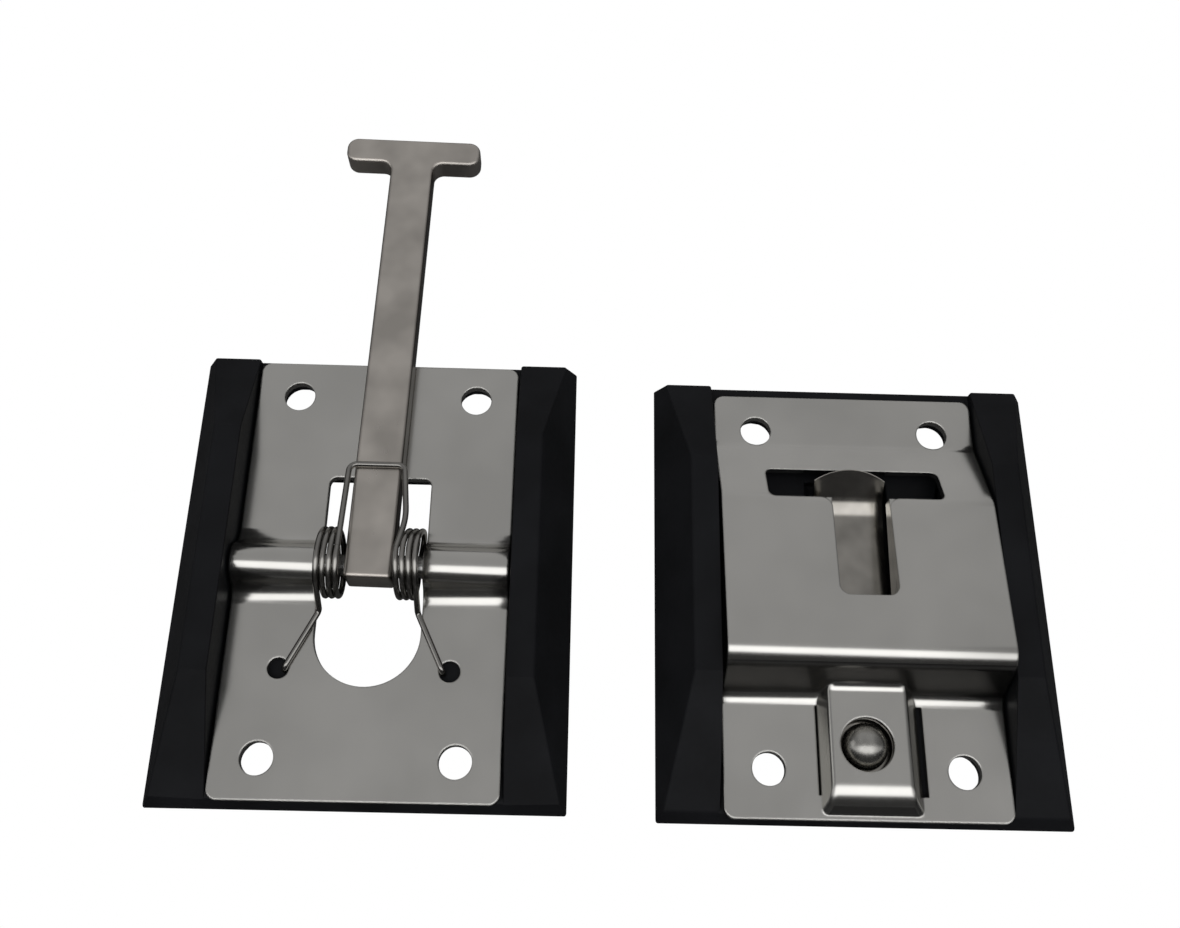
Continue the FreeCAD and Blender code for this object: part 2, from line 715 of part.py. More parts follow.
def bend(spot, outer, inner):
    """Rounds both faces of the sheet at one bend with an outer and an inner radius."""
    y, z = value(spot[0]), value(spot[1])
    name = "bend_" + spot[0].strip("-")

    def on_top(m, a, e):
        return crosswise(a) and near(m.y, spot[0]) and near(m.z, spot[1])

    def below(m, a, e):
        away = math.hypot(m.y - y, m.z - z)
        return crosswise(a) and 0.1 < away < value("sheet") * 1.5 and abs(m.x) < 1

    crest = z > value("plate_top") + 1
    round_edges(catch_plate, name + "_upper", outer if crest else inner, on_top)
    round_edges(catch_plate, name + "_under", inner if crest else outer, below)


bend(("-wall_foot_y", "plate_top"), "foot_bend_outer", "foot_bend")
bend(("-hood_y", "hood_top"), "hood_bend", "hood_bend_inner")
bend(("bend_high_y", "bend_high_z"), "gentle_bend", "gentle_bend_inner")
bend(("bend_far_y", "plate_top"), "gentle_bend", "gentle_bend_inner")

# Strap: a raised bridge with slanted sides, slit free of the plate on the left and right
strap = outline(catch_plate, "XZ_Plane", "strap_section", [
    ("-strap_left", "web"), ("strap_right", "web"), ("strap_right", "plate_top"),
    ("strap_right_flat", "strap_top"), ("-strap_left_flat", "strap_top"),
    ("-strap_left", "plate_top")], offset="strap_far")
pad(catch_plate, strap, "strap_block", "strap_length")
slope = outline(catch_plate, "YZ_Plane", "strap_slope", [
    ("-strap_near_foot", "plate_top"), ("-strap_near_top", "strap_top"),
    ("-strap_near_foot", "strap_top")])
cut(catch_plate, slope, "strap_slope_cut")
round_edges(catch_plate, "strap_rounds", "strap_bend",
            lambda m, a, e: crosswise(a) and near(m.y, "-strap_near_top")
            and near(m.z, "strap_top"))
round_edges(catch_plate, "strap_root_round", "strap_root",
            lambda m, a, e: crosswise(a) and near(m.z, "strap_top")
            and m.y > value("-wall_foot_y"))
round_edges(catch_plate, "strap_side_rounds", "strap_side",
            lambda m, a, e: abs(a.y) > 0.99 and near(m.z, "strap_top")
            and (near(m.x, "strap_right_flat") or near(m.x, "-strap_left_flat")))
for side, sign in (("left", "-"), ("right", "")):
    foot, slit_edge = sign + "strap_" + side, sign + "slit_" + side
    slit = outline(catch_plate, "XY_Plane", side + "_slit", [
        (foot, "-slit_near"), (slit_edge, "-slit_near"),
        (slit_edge, "-slit_far"), (foot, "-slit_far")])
    cut(catch_plate, slit, side + "_slit_cut", length="above", back=True)
hollow = outline(catch_plate, "XZ_Plane", "strap_hollow", [
    ("-strap_inner_foot", "web"), ("strap_inner_foot", "web"),
    ("strap_inner", "strap_under"), ("-strap_inner", "strap_under")], offset="strap_hollow_far")
cut(catch_plate, hollow, "strap_hollow_cut", length="hollow_length", back=True)
cut(catch_plate, circles(catch_plate, "XY_Plane", "snap_circle", [("-snap_x", "-snap_y")],
                         "snap_radius"), "snap_hole")
cut(catch_plate, circles(catch_plate, "XY_Plane", "catch_screw_circles", catch_screws,
                         "screw_radius"), "catch_screw_holes")

# T-slot with its narrow part edged by a turned-down lip
lip = outline(catch_plate, "XY_Plane", "lip_outline", [
    ("-lip_left", "-lip_near"), ("lip_right", "-lip_near"),
    ("lip_right", "lip_far"), ("-lip_left", "lip_far")], offset="lip_bottom")
pad(catch_plate, lip, "lip_block", "lip_depth")
slot = outline(catch_plate, "XY_Plane", "slot_outline", [
    ("-neck_left", "-neck_near"), ("neck_right", "-neck_near"), ("neck_right", "slot_near"),
    ("slot_half", "slot_near"), ("slot_half", "slot_far"), ("-slot_half", "slot_far"),
    ("-slot_half", "slot_near"), ("-neck_left", "slot_near")], offset="web")
cut(catch_plate, slot, "slot_cut", length="above", back=True)
round_edges(catch_plate, "slot_corners", "slot_round",
            lambda m, a, e: upright(a) and near(abs(m.x), "slot_half"))
round_edges(catch_plate, "slot_ends", "slot_end_round",
            lambda m, a, e: upright(a) and near(m.y, "-neck_near"))
round_edges(catch_plate, "slot_mouth", "slot_mouth_round",
            lambda m, a, e: upright(a) and near(m.y, "slot_near")
            and (near(m.x, "-neck_left") or near(m.x, "neck_right")))


# Leaf spring: strip with a turned-up, arched tip and a hollow dome

leaf = new_body("leaf_spring", "leaf_x", "catch_y")
leaf_side = sheet_profile(leaf, "leaf_side", [
    ("-leaf_near", "leaf_top"), ("leaf_bend_y", "leaf_top"), ("leaf_tip_y", "leaf_tip_z")],
    "leaf_thick")
strip = leaf.newObject("PartDesign::Pad", "strip")
strip.Profile = leaf_side
strip.setExpression("Length", "2 * Sizes.leaf_half")
strip.Midplane = True
leaf_side.Visibility = False
round_edges(leaf, "leaf_bend_in", "leaf_bend",
            lambda m, a, e: crosswise(a) and near(m.y, "leaf_bend_y") and near(m.z, "leaf_top"))
round_edges(leaf, "leaf_bend_out", "leaf_bend_outer",
            lambda m, a, e: crosswise(a) and near(m.y, "leaf_bend_y", 1)
            and near(m.z, "leaf_bottom"))
outside = new_sketch(leaf, "XY_Plane", "tip_arch")
tip_edge = math.asin(value("relief_half") / value("tip_radius"))
tip_circle = Part.Circle(V(0, value("tip_centre"), 0), V(0, 0, 1), value("tip_radius"))
outside.addGeometry(
    Part.ArcOfCircle(tip_circle, math.pi / 2 - tip_edge, math.pi / 2 + tip_edge), False)
right_end, left_end = outside.Geometry[0].StartPoint, outside.Geometry[0].EndPoint
beyond = value("stock_half")
fence = [left_end, V(left_end.x, beyond, 0), V(right_end.x, beyond, 0), right_end]
for p, q in zip(fence, fence[1:]):
    outside.addGeometry(Part.LineSegment(p, q), False)
for one, end, two, start in ((0, 2, 1, 1), (1, 2, 2, 1), (2, 2, 3, 1), (3, 2, 0, 1)):
    outside.addConstraint(Sketcher.Constraint("Coincident", one, end, two, start))
fix_point(outside, 0, 3, "0", "tip_centre")
index = outside.addConstraint(Sketcher.Constraint("Radius", 0, value("tip_radius")))
link(outside, "Constraints[%d]" % index, "tip_radius")
fix_point(outside, 1, 2, "-relief_half", "stock_half")
fix_point(outside, 2, 2, "relief_half", "stock_half")
outside.addConstraint(Sketcher.Constraint("Vertical", 1))
outside.addConstraint(Sketcher.Constraint("Vertical", 3))
cut(leaf, outside, "tip_arch_cut")


for side, sign in (("left", "-"), ("right", "")):
    flank = outline(leaf, "XY_Plane", side + "_flank", [
        (sign + "tail_half", "-catch_plate_half"), (sign + "foot_half", "-catch_plate_half"),
        (sign + "foot_half", "-tail_far"), (sign + "tail_half", "-tail_far")])
    cut(leaf, flank, side + "_flank_cut")


def dome(name, radius):
    """Half section of the dome, turned about the upright axis through the snap hole."""
    sketch = new_sketch(leaf, "YZ_Plane", name)
    r, low = value(radius), value("leaf_bottom")
    centre = V(value("-snap_y"), value("dome_centre"), 0)
    top, foot = V(centre.x, centre.y + r, 0), V(centre.x, low, 0)
    wide_foot, wide = V(centre.x + r, low, 0), V(centre.x + r, centre.y, 0)
    sketch.addGeometry(
        Part.ArcOfCircle(Part.Circle(centre, V(0, 0, 1), r), 0, math.pi / 2), False)
    for p, q in ((top, foot), (foot, wide_foot), (wide_foot, wide)):
        sketch.addGeometry(Part.LineSegment(p, q), False)
    for one, end, two, start in ((0, 2, 1, 1), (1, 2, 2, 1), (2, 2, 3, 1)):
        sketch.addConstraint(Sketcher.Constraint("Coincident", one, end, two, start))
    sketch.addConstraint(Sketcher.Constraint("Tangent", 3, 2, 0, 1))
    fix_point(sketch, 0, 3, "-snap_y", "dome_centre")
    index = sketch.addConstraint(Sketcher.Constraint("Radius", 0, r))
    link(sketch, "Constraints[%d]" % index, radius)
    fix_point(sketch, 2, 1, "-snap_y", "leaf_bottom")
    sketch.addConstraint(Sketcher.Constraint("Horizontal", 2))
    sketch.addConstraint(Sketcher.Constraint("Vertical", 3))
    return sketch


cap = leaf.newObject("PartDesign::Revolution", "dome_cap")
cap.Profile = dome("dome_section", "dome_radius")
cap.ReferenceAxis = (cap.Profile[0], ["Edge2"])
cap.Angle = 360
inside = leaf.newObject("PartDesign::Groove", "dome_hollow")
inside.Profile = dome("dome_hollow_section", "dome_inner")
inside.ReferenceAxis = (inside.Profile[0], ["Edge2"])
inside.Angle = 360


# Check every object and write one file per node

doc.recompute()
for thing in doc.Objects:
    if "Invalid" in thing.State or "Error" in thing.State:
        raise RuntimeError("bad object: " + thing.Name)

os.makedirs("parts", exist_ok=True)
NODES = [hook_base, plate, pin, bar, spring, catch_base, catch_plate, leaf]
for node in NODES:
    shape = node.Shape
    if shape.isNull() or not shape.isValid() or len(shape.Solids) != 1:
        raise RuntimeError("bad shape: " + node.Label)
    shape.exportStep("parts/%s.step" % node.Label)
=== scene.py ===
import json
import math

import bmesh
import bpy
from bpy.props import FloatProperty, FloatVectorProperty, IntProperty, PointerProperty
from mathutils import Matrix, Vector


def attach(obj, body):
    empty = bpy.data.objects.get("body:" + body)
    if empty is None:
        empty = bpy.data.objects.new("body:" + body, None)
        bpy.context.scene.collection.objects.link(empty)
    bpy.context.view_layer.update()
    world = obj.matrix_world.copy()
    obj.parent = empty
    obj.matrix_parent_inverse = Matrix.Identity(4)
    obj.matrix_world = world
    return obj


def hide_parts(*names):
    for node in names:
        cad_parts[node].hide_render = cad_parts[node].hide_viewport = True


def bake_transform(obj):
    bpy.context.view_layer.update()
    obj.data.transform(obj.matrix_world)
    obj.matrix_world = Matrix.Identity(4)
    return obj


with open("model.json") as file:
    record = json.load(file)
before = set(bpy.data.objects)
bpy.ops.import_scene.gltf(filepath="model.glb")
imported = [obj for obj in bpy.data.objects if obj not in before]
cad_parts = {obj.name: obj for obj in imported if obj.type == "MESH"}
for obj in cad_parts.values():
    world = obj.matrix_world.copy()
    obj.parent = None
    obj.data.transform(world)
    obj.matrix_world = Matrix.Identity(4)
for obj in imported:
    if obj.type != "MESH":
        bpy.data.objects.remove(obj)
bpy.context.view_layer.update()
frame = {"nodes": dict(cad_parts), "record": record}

bl_info = {
    "name": "Door Holder",
    "version": (1, 0, 0),
    "blender": (4, 2, 0),
    "location": "View3D > Sidebar > Door Holder",
    "description": "Finishes, spring and stage for a door holder in two halves",
    "category": "Object",
}

MM = 0.001
TINY = 1e-6

# How finely round shapes are drawn
ARC_STEPS = 6
STEPS_PER_TURN = 40
WIRE_FACETS = 8
LIP_SEGMENTS = 8
EDGE_SEGMENTS = 3
RIM_SAMPLES = 6

# Angles between faces: the slot's edge is smooth up to the first,
# and the CAD pieces get soft edges past the second
SMOOTH_ANGLE = math.radians(30)
EDGE_ANGLE = math.radians(32)


# Shared shader parts

def new_group(name, inputs, outputs):
    """An empty shader group with the given sockets, plus its input and output nodes."""
    group = bpy.data.node_groups.new(name, "ShaderNodeTree")
    for label, kind, default in inputs:
        item = group.interface.new_socket(name=label, in_out="INPUT", socket_type=kind)
        item.default_value = default
    for label, kind in outputs:
        group.interface.new_socket(name=label, in_out="OUTPUT", socket_type=kind)
    start = group.nodes.new("NodeGroupInput")
    end = group.nodes.new("NodeGroupOutput")
    return group, start, end


def grain_group():
    """Fine grain: a stretched noise that varies roughness and lifts the surface a little."""
    group, start, end = new_group(
        "Fine Grain",
        [
            ("Scale", "NodeSocketFloat", 900.0),
            ("Stretch", "NodeSocketVector", (1.0, 1.0, 1.0)),
            ("Roughness", "NodeSocketFloat", 0.3),
            ("Spread", "NodeSocketFloat", 0.08),
            ("Relief", "NodeSocketFloat", 0.05),
        ],
        [("Roughness", "NodeSocketFloat"), ("Normal", "NodeSocketVector")],
    )
    nodes, links = group.nodes, group.links
    where = nodes.new("ShaderNodeTexCoord")
    stretch = nodes.new("ShaderNodeVectorMath")
    stretch.operation = "MULTIPLY"
    noise = nodes.new("ShaderNodeTexNoise")
    noise.inputs["Detail"].default_value = 3.0
    spread = nodes.new("ShaderNodeMath")
    spread.operation = "MULTIPLY_ADD"
    centre = nodes.new("ShaderNodeMath")
    centre.operation = "SUBTRACT"
    centre.inputs[1].default_value = 0.5
    bump = nodes.new("ShaderNodeBump")
    bump.inputs["Distance"].default_value = 0.05 * MM
    links.new(where.outputs["Object"], stretch.inputs[0])
    links.new(start.outputs["Stretch"], stretch.inputs[1])
    links.new(stretch.outputs[0], noise.inputs["Vector"])
    links.new(start.outputs["Scale"], noise.inputs["Scale"])
    links.new(noise.outputs[0], centre.inputs[0])
    links.new(centre.outputs[0], spread.inputs[0])
    links.new(start.outputs["Spread"], spread.inputs[1])
    links.new(start.outputs["Roughness"], spread.inputs[2])
    links.new(start.outputs["Relief"], bump.inputs["Strength"])
    links.new(noise.outputs[0], bump.inputs["Height"])
    links.new(spread.outputs[0], end.inputs["Roughness"])
    links.new(bump.outputs["Normal"], end.inputs["Normal"])


def patch_group():
    """Soft patches: a slow noise that mixes two colours."""
    group, start, end = new_group(
        "Soft Patches",
        [
            ("Scale", "NodeSocketFloat", 40.0),
            ("Light", "NodeSocketColor", (0.6, 0.6, 0.6, 1.0)),
            ("Dark", "NodeSocketColor", (0.5, 0.5, 0.5, 1.0)),
        ],
        [("Color", "NodeSocketColor")],
    )
    nodes, links = group.nodes, group.links
    where = nodes.new("ShaderNodeTexCoord")
    noise = nodes.new("ShaderNodeTexNoise")
    noise.inputs["Detail"].default_value = 2.0
    shape = nodes.new("ShaderNodeMapRange")
    shape.inputs["From Min"].default_value = 0.35
    shape.inputs["From Max"].default_value = 0.65
    mix = nodes.new("ShaderNodeMix")
    mix.data_type = "RGBA"
    links.new(where.outputs["Object"], noise.inputs["Vector"])
    links.new(start.outputs["Scale"], noise.inputs["Scale"])
    links.new(noise.outputs[0], shape.inputs["Value"])
    links.new(shape.outputs["Result"], mix.inputs["Factor"])
    links.new(start.outputs["Dark"], mix.inputs["A"])
    links.new(start.outputs["Light"], mix.inputs["B"])
    links.new(mix.outputs["Result"], end.inputs["Color"])


def make_material(name, light, dark, metallic, shine, roughness, spread, relief, scale,
                  stretch, patch, rim):
    """A Principled surface fed by the shared grain and patch groups."""
    material = bpy.data.materials.new(name)
    material.use_nodes = True
    nodes, links = material.node_tree.nodes, material.node_tree.links
    surface = nodes["Principled BSDF"]
    surface.inputs["Metallic"].default_value = metallic
    surface.inputs["Specular IOR Level"].default_value = shine
    grain = nodes.new("ShaderNodeGroup")
    grain.node_tree = bpy.data.node_groups["Fine Grain"]
    grain.inputs["Scale"].default_value = scale
    grain.inputs["Stretch"].default_value = stretch
    grain.inputs["Roughness"].default_value = roughness
    grain.inputs["Spread"].default_value = spread
    grain.inputs["Relief"].default_value = relief
    patches = nodes.new("ShaderNodeGroup")
    patches.node_tree = bpy.data.node_groups["Soft Patches"]
    patches.inputs["Scale"].default_value = patch
    patches.inputs["Light"].default_value = (*light, 1.0)
    patches.inputs["Dark"].default_value = (*(level * dark for level in light), 1.0)
    links.new(patches.outputs["Color"], surface.inputs["Base Color"])
    links.new(grain.outputs["Roughness"], surface.inputs["Roughness"])
    links.new(grain.outputs["Normal"], surface.inputs["Normal"])
    if rim:
        soft = nodes.new("ShaderNodeBevel")
        soft.samples = RIM_SAMPLES
        soft.inputs["Radius"].default_value = rim * MM
        links.new(grain.outputs["Normal"], soft.inputs["Normal"])
        links.new(soft.outputs["Normal"], surface.inputs["Normal"])
    return material


# Each row: dark patches as a share of the light ones, metallic, shine, roughness, its
# spread, relief, grain scale, grain stretch, patch scale, and the radius in millimetres
# of a rim that is rounded by shading
FINISHES = {
    "rubber": (0.58, 0.0, 0.12, 0.55, 0.1, 0.3, 900.0, (1.0, 1.0, 1.0), 60.0, 0.0),
    "stainless": (0.895, 1.0, 0.5, 0.2, 0.06, 0.04, 700.0, (1.0, 0.15, 1.0), 45.0, 0.6),
    # Painted shade: a darker stainless stands in for the shade on the wall below the hood and
    # the strap's near slope
    "shaded_stainless": (0.79, 1.0, 0.5, 0.22, 0.06, 0.04, 700.0, (1.0, 0.15, 1.0), 45.0, 0.6),
    "pin_steel": (0.84, 1.0, 0.5, 0.22, 0.06, 0.05, 900.0, (0.3, 1.0, 1.0), 60.0, 0.0),
    "bar_steel": (0.73, 1.0, 0.5, 0.3, 0.12, 0.12, 600.0, (1.0, 0.3, 1.0), 90.0, 0.8),
    # Painted shade: a darker steel stands in for the shade on the sides of the arm
    "bar_flank": (0.65, 1.0, 0.5, 0.35, 0.12, 0.12, 600.0, (1.0, 0.3, 1.0), 90.0, 0.8),
    "spring_steel": (0.73, 1.0, 0.5, 0.22, 0.05, 0.03, 900.0, (1.0, 1.0, 1.0), 80.0, 0.0),
    "dome_steel": (0.715, 1.0, 0.5, 0.26, 0.12, 0.3, 1400.0, (1.0, 1.0, 1.0), 300.0, 0.0),
    "leaf_steel": (0.635, 1.0, 0.5, 0.16, 0.08, 0.1, 900.0, (1.0, 0.3, 1.0), 110.0, 0.2),
}


def finish_material(name):
    """The material of a finish, made at its first use."""
    found = bpy.data.materials.get("Finish " + name)
    if found:
        return found
    if "Fine Grain" not in bpy.data.node_groups:
        grain_group()
        patch_group()
    light = getattr(bpy.context.scene.holder_finish, name)
    return make_material("Finish " + name, light, *FINISHES[name])


def give(obj, name):
    """One finish all over a piece, as its only material."""
    obj.data.materials.clear()
    obj.data.materials.append(finish_material(name))


# Second finishes and painted shade, on faces told by the place of their middle in millimetres

RAISED = 5.3
DOME_FAR = -50.0
WALL_FAR = -49.0
FLANK_FAR = 62.0
FACES_NEAR = -0.75
FACES_ASIDE = 0.8


def on_dome(centre, normal):
    """The pressed dome of the leaf spring."""
    return centre.y < DOME_FAR and centre.z > RAISED


def on_wall(centre, normal):
    """The wall below the hood and the strap's near slope, which get painted shade."""
    return centre.y < WALL_FAR and centre.z > RAISED and normal.y < FACES_NEAR


def on_flank(centre, normal):
    """The sides of the arm, up to its head, which get painted shade."""
    return centre.y < FLANK_FAR and abs(normal.x) > FACES_ASIDE


SECOND = {
    # The catch plate's wall and strap slope and the sides of the arm get painted shade; the
    # dome gets its own steel
    "catch_plate": ("shaded_stainless", on_wall),
    "t_bar": ("bar_flank", on_flank),
    "leaf_spring": ("dome_steel", on_dome),
}


def second_finish(obj, finish, chosen):
    """Another finish or painted shade on the faces picked by their middle and normal."""
    obj.data.materials.append(finish_material(finish))
    turn = obj.matrix_world.to_3x3()
    for face in obj.data.polygons:
        if chosen(obj.matrix_world @ face.center / MM, turn @ face.normal):
            face.material_index = 1


# Soft edges

# Width in millimetres, and 0 where the finish rounds the rim by shading alone
EDGES = {
    "hook_rubber_base": 0.5, "catch_rubber_base": 0.5,
    "hook_plate": 0.25, "catch_plate": 0.25, "hinge_pin": 0.25,
    "t_bar": 0.0, "leaf_spring": 0.0,
}
WELD_REACH = 0.002


def soften(obj, width):
    """Joins a CAD mesh's loose triangles and rounds its edges, by modifiers."""
    weld = obj.modifiers.new("Weld", "WELD")
    weld.merge_threshold = WELD_REACH * MM
    soft = obj.modifiers.new("Soft Edges", "BEVEL")
    soft.width = width * MM
    soft.segments = EDGE_SEGMENTS
    soft.limit_method = "ANGLE"
    soft.angle_limit = EDGE_ANGLE
    soft.harden_normals = True


# Selection

def deselect_all():
    """Takes every object out of the selection."""
    for obj in bpy.context.selected_objects:
        obj.select_set(False)


def pick(obj, kind, chosen):
    """Select in edit mode the vertices, edges or faces that a test accepts."""
    bpy.ops.mesh.select_all(action="DESELECT")
    bpy.ops.mesh.select_mode(type=kind)
    shape = bmesh.from_edit_mesh(obj.data)
    for item in {"VERT": shape.verts, "EDGE": shape.edges, "FACE": shape.faces}[kind]:
        item.select_set(bool(chosen(item)))
    bmesh.update_edit_mesh(obj.data)


# Settings

def length(name, value, note):
    """A size in millimetres."""
    return FloatProperty(name=name, description=note + ", in millimetres", default=value)


def place(name, value, note):
    """Two or three sizes in millimetres."""
    return FloatVectorProperty(name=name, description=note + ", in millimetres",
                               size=len(value), default=value)


def colour(name, value, note):
    """A colour as red, green and blue."""
    return FloatVectorProperty(name=name, description=note, subtype="COLOR", min=0.0, max=1.0,
                               default=value)


class FinishSettings(bpy.types.PropertyGroup):
    """Lighter colour of each finish, painted shade included."""

    rubber: colour("Rubber", (0.0094, 0.0099, 0.0116), "Moulded rubber of both bases")
    stainless: colour("Stainless", (0.59, 0.58, 0.55), "Sheet of both plates")
    # Painted shade: darker stainless for the shade on the wall below the hood and the strap's
    # near slope
    shaded_stainless: colour("Shaded Stainless", (0.24, 0.235, 0.225), "Wall below the hood")
    pin_steel: colour("Pin Steel", (0.5, 0.5, 0.49), "Hinge pin")
    bar_steel: colour("Bar Steel", (0.62, 0.58, 0.53), "Arm with its T-shaped head")
    # Painted shade: darker steel for the shade on the sides of the arm
    bar_flank: colour("Bar Flank", (0.2, 0.185, 0.165), "Sides of the arm")
    spring_steel: colour("Spring Steel", (0.34, 0.33, 0.31), "Wire of the torsion spring")
    leaf_steel: colour("Leaf Steel", (0.42, 0.4, 0.365), "Strip of the leaf spring")
    dome_steel: colour("Dome Steel", (0.5, 0.49, 0.46), "Pressed dome of the leaf spring")


class SpringSettings(bpy.types.PropertyGroup):
    """Sizes of the torsion spring; each pair is left and right."""

    wire_radius: length("Wire Radius", 0.65, "Radius of the wire")
    coil_radius: length("Coil Radius", 7.2, "Radius of the coils at the wire's middle")
    coil_height: length("Coil Height", 8.7, "Height of the coils' axis")
    coil_pitch: length("Coil Pitch", 1.38, "Advance in one turn")
    coil_inner: length("Coil Inner End", 6.2, "Distance from the arm's middle to the coils")
    turns: IntProperty(name="Turns", description="Whole turns of each coil", default=3)
    skew: place("Skew", (0.0, 0.15), "Outward lean of the coil's far side")
    via_x: place("Via", (6.15, 7.7), "Distance of the strand from the middle on its way up")
    via_y: length("Via Reach", 8.5, "Where along the arm that distance is reached")
    via_round: length("Via Radius", 18.0, "Radius of the strand's slow bend")
    loop_x: length("Loop Half Width", 6.1, "Half the width of the loop over the arm")
    loop_y: length("Loop Reach", 22.0, "Distance from the hinge to the loop")
    loop_height: length("Loop Height", 11.75, "Height of the loop")
    loop_round: length("Loop Radius", 1.8, "Radius of the loop's corners")
    leg_lean: FloatProperty(name="Leg Lean", description="Lean of the legs from upright",
                            subtype="ANGLE", default=math.radians(30))
    leg_round: length("Leg Radius", 1.3, "Radius of the legs' bends")
    tip: place("Leg Tip", (16.8, -22.8, 5.75), "Bend above the plate's leg hole")
    tip_end: length("Tip End Height", 3.4, "Height of the leg's end in the hole")
    middle: place("Middle", (-53.05, -29.2, 0.0), "Place on the hinge between the coils")


class LipSettings(bpy.types.PropertyGroup):
    """Turned-down edge of the narrow slot, measured from the catch plate's middle."""

    left: length("Left", 5.73, "Distance to the left inner face")
    right: length("Right", 6.93, "Distance to the right inner face")
    near: length("Near", 3.23, "Distance to the near inner face")
    far: length("Far", 19.6, "Distance to the far ends")
    corner: length("Corner", 2.2, "Radius of the near corners, inside")
    thickness: length("Thickness", 1.2, "Thickness of the edge")
    bottom: length("Bottom", 9.0, "Height of the lower rim at the near side")
    far_bottom: length("Far Bottom", 10.4, "Height of the lower rim at the far side")
    top: length("Top", 12.6, "Height of the upper rim at the near side")
    far_top: length("Far Top", 13.9, "Height of the upper rim at the far side")
    middle: place("Middle", (53.05, -32.8, 0.0), "Place of the catch plate's middle")


class StageSettings(bpy.types.PropertyGroup):
    """Camera and lamp."""

    eye: place("Eye", (-10.1, -112.3, 262.4), "Place of the camera")
    aim: place("Aim", (-5.7, -0.8, 0.0), "Point that the camera looks at")
    roll: FloatProperty(name="Roll", description="Turn of the camera about its view",
                        subtype="ANGLE", default=math.radians(3.527))
    lens: FloatProperty(name="Lens", description="Focal length on a 36 mm sensor", default=37.3)
    lamp_power: FloatProperty(name="Lamp Power", description="Power of the soft lamp",
                              unit="POWER", default=0.2)


# Wire paths

def rounded(points, radius):
    """Points along a line whose corners are arcs of one radius."""
    path = [points[0]]
    for before, corner, after in zip(points, points[1:], points[2:]):
        one = (before - corner).normalized()
        two = (after - corner).normalized()
        half = math.acos(max(-1.0, min(1.0, one.dot(two)))) / 2
        middle = (one + two).normalized()
        centre = corner + middle * (radius / math.sin(half))
        a = corner + one * (radius / math.tan(half)) - centre
        b = corner + two * (radius / math.tan(half)) - centre
        sweep = a.angle(b)
        for i in range(ARC_STEPS + 1):
            t = i / ARC_STEPS
            path.append(centre + (a * math.sin((1 - t) * sweep) + b * math.sin(t * sweep))
                        / math.sin(sweep))
    path.append(points[-1])
    return path


def spring_paths(s, side):
    """Centre lines of one half of the spring: leg and coil, then strand and half the loop."""
    skew, via_x = s.skew[side > 0], s.via_x[side > 0]
    r, height = s.coil_radius, s.coil_height
    drop = math.atan2(height - s.loop_height, s.loop_y)
    reach = math.hypot(s.loop_y, height - s.loop_height)
    leave = math.acos(r / reach) - drop
    enter = math.pi - s.leg_lean
    sweep = 2 * math.pi * s.turns + enter - leave
    rise = s.coil_pitch / (2 * math.pi)
    start_x = s.coil_inner + rise * sweep
    count = STEPS_PER_TURN * s.turns + STEPS_PER_TURN // 2
    coil = []
    for i in range(count + 1):
        angle = enter - sweep * i / count
        y = r * math.cos(angle)
        x = start_x - rise * sweep * i / count + skew * max(y, 0.0) ** 2 / r
        coil.append(Vector((x, y, height + r * math.sin(angle))))
    begin, finish = coil[0], coil[-1]
    tip = Vector(s.tip)
    run = (begin.z - tip.z) * math.tan(s.leg_lean)
    knee = Vector((begin.x, begin.y - run, tip.z))
    leg = rounded([Vector((tip.x, tip.y, s.tip_end)), tip, knee, begin], s.leg_round)
    corner = Vector((s.loop_x, s.loop_y, s.loop_height))
    via = finish.lerp(corner, (s.via_y - finish.y) / (corner.y - finish.y))
    via.x = via_x
    rear = rounded([finish, via, corner], s.via_round)
    loop = rounded([rear[-2], corner, Vector((0.0, corner.y, corner.z))], s.loop_round)
    middle = Vector(s.middle)
    return [[Vector((side * p.x, p.y, p.z)) + middle for p in path]
            for path in (leg[:-1] + coil, rear[:-2] + loop)]


def wire(name, path, radius):
    """A round wire along a path in millimetres, closed at both ends."""
    curve = bpy.data.curves.new(name, "CURVE")
    curve.dimensions = "3D"
    curve.bevel_depth = radius * MM
    curve.bevel_resolution = WIRE_FACETS
    curve.use_fill_caps = True
    line = curve.splines.new("POLY")
    line.points.add(len(path) - 1)
    for knot, point in zip(line.points, path):
        knot.co = (*(point * MM), 1.0)
    obj = bpy.data.objects.new(name, curve)
    bpy.context.collection.objects.link(obj)
    deselect_all()
    obj.select_set(True)
    bpy.context.view_layer.objects.active = obj
    bpy.ops.object.convert(target="MESH")
    return bpy.context.active_object


# Pieces

class HOLDER_OT_spring(bpy.types.Operator):
    """Torsion spring: two coils, and a loop that rides on the arm"""

    bl_idname = "holder.spring"
    bl_label = "Torsion Spring"

    def execute(self, context):
        s = context.scene.holder_spring
        strands = []
        for side, name in ((1, "spring_coil_right"), (-1, "spring_coil_left")):
            coil, strand = spring_paths(s, side)
            strands.append(strand)
            piece = self.piece(name, coil, s.wire_radius)
            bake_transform(piece)
        right, left = strands
        loop = self.piece("spring_loop", right[:-1] + left[-2::-1], s.wire_radius)
        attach(loop, "arm")
        return {"FINISHED"}

    def piece(self, name, path, radius):
        """A length of wire that takes the CAD spring's place."""
        made = wire(name, path, radius)
        give(made, "spring_steel")
        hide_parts("torsion_spring")
        return made


